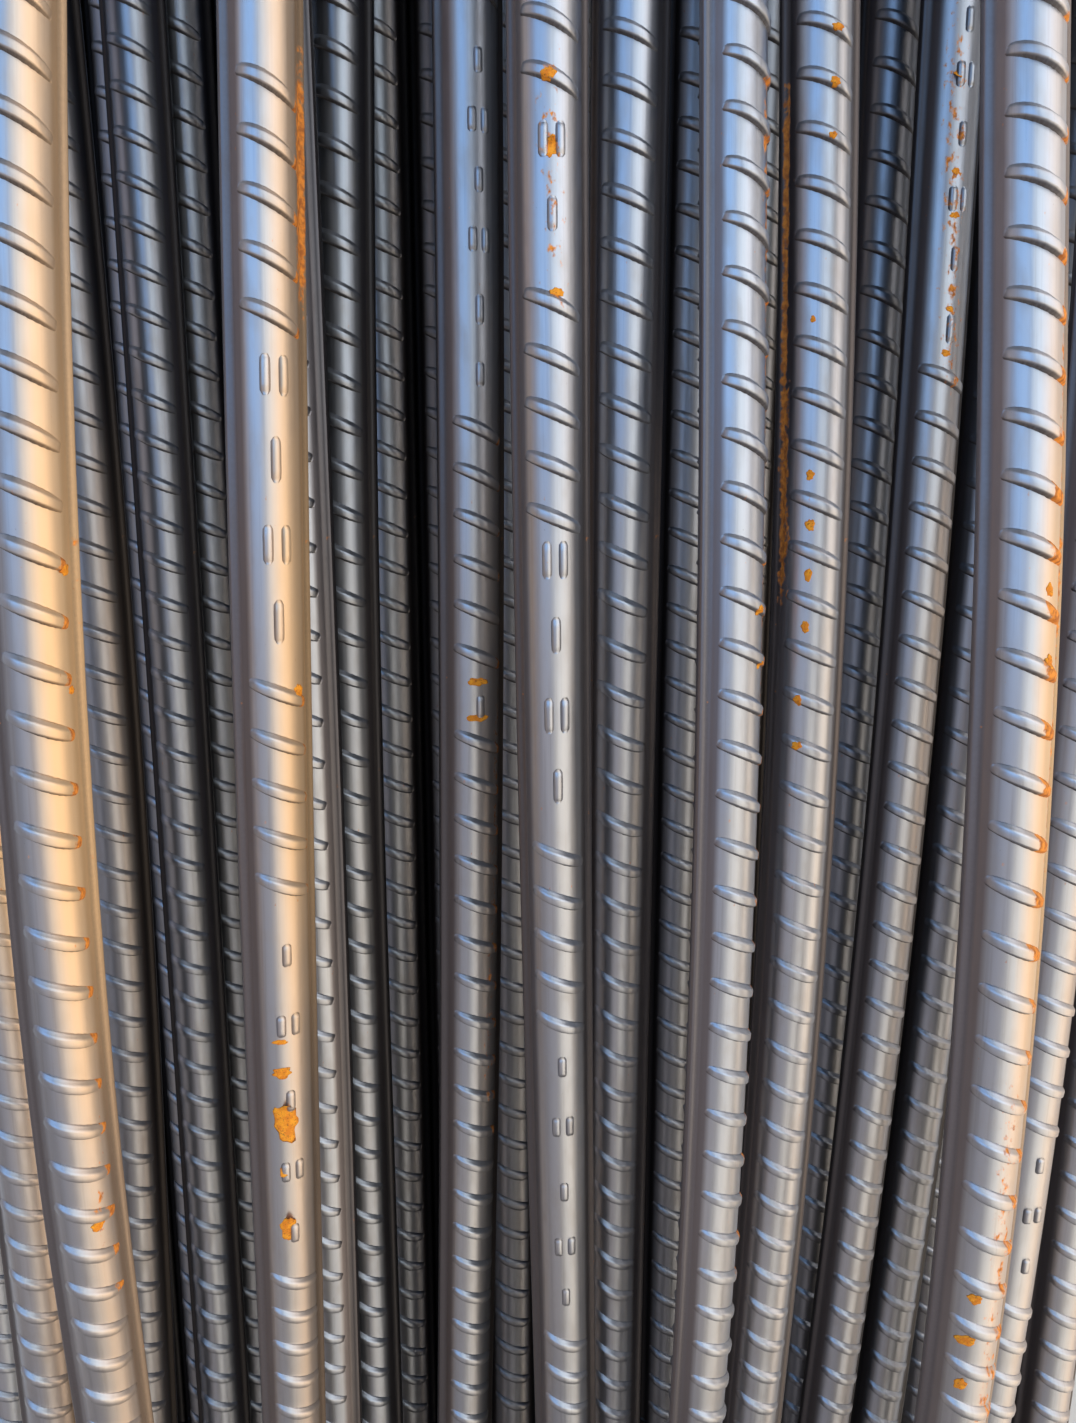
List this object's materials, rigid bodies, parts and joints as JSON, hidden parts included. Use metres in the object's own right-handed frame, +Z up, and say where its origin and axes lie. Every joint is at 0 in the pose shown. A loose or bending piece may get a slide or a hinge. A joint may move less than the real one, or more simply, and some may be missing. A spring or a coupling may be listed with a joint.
{
  "type": "rebar bundle",
  "caption": "Loose bundle of long ribbed steel reinforcing bars lying side by side, some bowed up out of it, held by flat steel straps.",
  "frame": {"origin": "on the floor under the middle of the bundle", "axes": "+Y along the bars, +X across the bundle, +Z up"},
  "size_m": [0.333, 6.016, 0.1317],
  "materials": {
    "bar_steel": "satin hot-rolled steel with thin blue-grey scale and spots of orange rust",
    "strap_steel": "blued black strapping with worn edges",
    "seal_steel": "dull zinc-grey sheet"
  },
  "bodies": {
    "root": {"bottom_row_bars": "bar_steel", "second_row_bars": "bar_steel", "third_row_bars": "bar_steel", "top_row_bars": "bar_steel", "bowed_bar_01": "bar_steel", "bowed_bar_02": "bar_steel", "bowed_bar_03": "bar_steel", "bowed_bar_04": "bar_steel", "bowed_bar_05": "bar_steel", "bowed_bar_06": "bar_steel", "bowed_bar_07": "bar_steel", "bowed_bar_08": "bar_steel", "bowed_bar_09": "bar_steel", "bowed_bar_10": "bar_steel", "bowed_bar_11": "bar_steel", "bowed_bar_12": "bar_steel", "bowed_bar_13": "bar_steel", "bowed_bar_14": "bar_steel", "bowed_bar_15": "bar_steel", "bowed_bar_16": "bar_steel", "bowed_bar_17": "bar_steel", "strap_1": "strap_steel", "strap_2": "strap_steel", "strap_3": "strap_steel", "strap_4": "strap_steel", "strap_seal_1": "seal_steel", "strap_seal_2": "seal_steel", "strap_seal_3": "seal_steel", "strap_seal_4": "seal_steel"}
  },
  "joints": []
}
